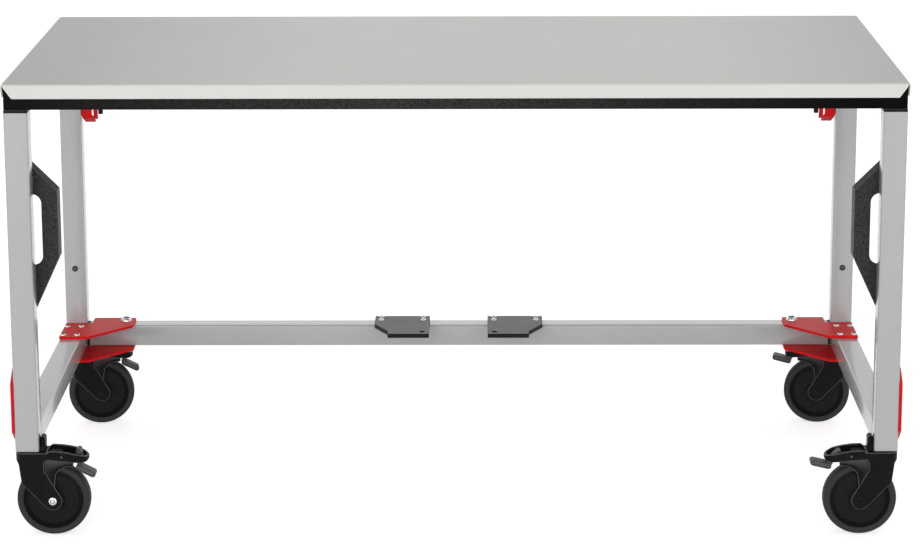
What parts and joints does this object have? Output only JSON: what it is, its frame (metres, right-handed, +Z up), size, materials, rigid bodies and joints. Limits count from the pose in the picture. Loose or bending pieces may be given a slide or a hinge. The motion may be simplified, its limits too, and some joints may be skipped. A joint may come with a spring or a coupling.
{
  "type": "assembly table",
  "caption": "Wheeled assembly table: folded steel worktop on a square-tube frame with flat corner gussets, side grips, bracket plates and braked swivel casters.",
  "frame": {"origin": "centre of the bounding box on the floor, under the wheels", "axes": "+X along the table to its right end, +Y from the front to the rear crossbar, +Z up"},
  "size_m": [1.5034, 0.75, 0.78],
  "materials": {
    "worktop_paint": "satin",
    "silver_paint": "gloss",
    "black_paint": "fine texture",
    "red_paint": "satin",
    "bright_steel": "polished",
    "black_plastic": "matte",
    "wheel_plastic": "matte",
    "lever_plastic": "matte",
    "grey_rubber": "matte"
  },
  "bodies": {
    "table": {"worktop": "worktop_paint", "frame_front_rail": "black_paint", "frame_rear_rail": "black_paint", "frame_left_rail": "black_paint", "frame_right_rail": "black_paint", "frame_cross_rail_left": "black_paint", "frame_cross_rail_right": "black_paint", "front_left_leg": "silver_paint", "front_left_leg_cap": "black_plastic", "front_right_leg": "silver_paint", "front_right_leg_cap": "black_plastic", "rear_left_leg": "silver_paint", "rear_left_leg_cap": "black_plastic", "rear_right_leg": "silver_paint", "rear_right_leg_cap": "black_plastic", "crossbar": "silver_paint", "crossbar_plug_left": "black_plastic", "side_rail_left": "silver_paint", "upper_gusset_left": "red_paint", "lower_gusset_left": "red_paint", "clamp_bolt_left": "bright_steel", "side_plate_left": "red_paint", "grip_left": "black_paint", "bracket_plate_left": "black_paint", "leg_hook_left": "red_paint", "hook_stud_left": "black_paint", "crossbar_plug_right": "black_plastic", "side_rail_right": "silver_paint", "upper_gusset_right": "red_paint", "lower_gusset_right": "red_paint", "clamp_bolt_right": "bright_steel", "side_plate_right": "red_paint", "grip_right": "black_paint", "bracket_plate_right": "black_paint", "leg_hook_right": "red_paint", "hook_stud_right": "black_paint", "front_left_caster_stem": "black_plastic", "front_right_caster_stem": "black_plastic", "rear_left_caster_stem": "black_plastic", "rear_right_caster_stem": "black_plastic"},
    "front_left_caster": {"front_left_caster_fork": "black_plastic", "front_left_wheel_axle": "bright_steel"},
    "front_left_wheel": {"front_left_wheel_hub": "wheel_plastic", "front_left_wheel_tyre": "grey_rubber"},
    "front_left_brake": {"front_left_brake_lever": "lever_plastic"},
    "front_right_caster": {"front_right_caster_fork": "black_plastic", "front_right_wheel_axle": "bright_steel"},
    "front_right_wheel": {"front_right_wheel_hub": "wheel_plastic", "front_right_wheel_tyre": "grey_rubber"},
    "front_right_brake": {"front_right_brake_lever": "lever_plastic"},
    "rear_left_caster": {"rear_left_caster_fork": "black_plastic", "rear_left_wheel_axle": "bright_steel"},
    "rear_left_wheel": {"rear_left_wheel_hub": "wheel_plastic", "rear_left_wheel_tyre": "grey_rubber"},
    "rear_left_brake": {"rear_left_brake_lever": "lever_plastic"},
    "rear_right_caster": {"rear_right_caster_fork": "black_plastic", "rear_right_wheel_axle": "bright_steel"},
    "rear_right_wheel": {"rear_right_wheel_hub": "wheel_plastic", "rear_right_wheel_tyre": "grey_rubber"},
    "rear_right_brake": {"rear_right_brake_lever": "lever_plastic"}
  },
  "joints": [
    {"name": "front_left_swivel", "type": "hinge", "parent": "table", "child": "front_left_caster", "pos_m": [-0.7267, -0.348, 0.149], "axis": [0, 0, 1], "continuous": true},
    {"name": "front_left_roll", "type": "hinge", "parent": "front_left_caster", "child": "front_left_wheel", "pos_m": [-0.6857, -0.348, 0.0625], "axis": [0, 1, 0], "continuous": true},
    {"name": "front_left_brake_tread", "type": "hinge", "parent": "front_left_caster", "child": "front_left_brake", "pos_m": [-0.6387, -0.348, 0.133], "axis": [0, -1, 0], "range_deg": [0, 40]},
    {"name": "front_right_swivel", "type": "hinge", "parent": "table", "child": "front_right_caster", "pos_m": [0.7267, -0.348, 0.149], "axis": [0, 0, 1], "continuous": true},
    {"name": "front_right_roll", "type": "hinge", "parent": "front_right_caster", "child": "front_right_wheel", "pos_m": [0.6857, -0.348, 0.0625], "axis": [0, -1, 0], "continuous": true},
    {"name": "front_right_brake_tread", "type": "hinge", "parent": "front_right_caster", "child": "front_right_brake", "pos_m": [0.6387, -0.348, 0.133], "axis": [0, 1, 0], "range_deg": [-40, 0]},
    {"name": "rear_left_swivel", "type": "hinge", "parent": "table", "child": "rear_left_caster", "pos_m": [-0.7267, 0.332, 0.149], "axis": [0, 0, 1], "continuous": true},
    {"name": "rear_left_roll", "type": "hinge", "parent": "rear_left_caster", "child": "rear_left_wheel", "pos_m": [-0.6861, 0.33771, 0.0625], "axis": [-0.1392, 0.9903, 0], "continuous": true},
    {"name": "rear_left_brake_tread", "type": "hinge", "parent": "rear_left_caster", "child": "rear_left_brake", "pos_m": [-0.63956, 0.34425, 0.133], "axis": [0.1392, -0.9903, 0], "range_deg": [0, 40]},
    {"name": "rear_right_swivel", "type": "hinge", "parent": "table", "child": "rear_right_caster", "pos_m": [0.7267, 0.332, 0.149], "axis": [0, 0, 1], "continuous": true},
    {"name": "rear_right_roll", "type": "hinge", "parent": "rear_right_caster", "child": "rear_right_wheel", "pos_m": [0.6861, 0.33771, 0.0625], "axis": [-0.1392, -0.9903, 0], "continuous": true},
    {"name": "rear_right_brake_tread", "type": "hinge", "parent": "rear_right_caster", "child": "rear_right_brake", "pos_m": [0.63956, 0.34425, 0.133], "axis": [0.1392, 0.9903, 0], "range_deg": [-40, 0]}
  ]
}
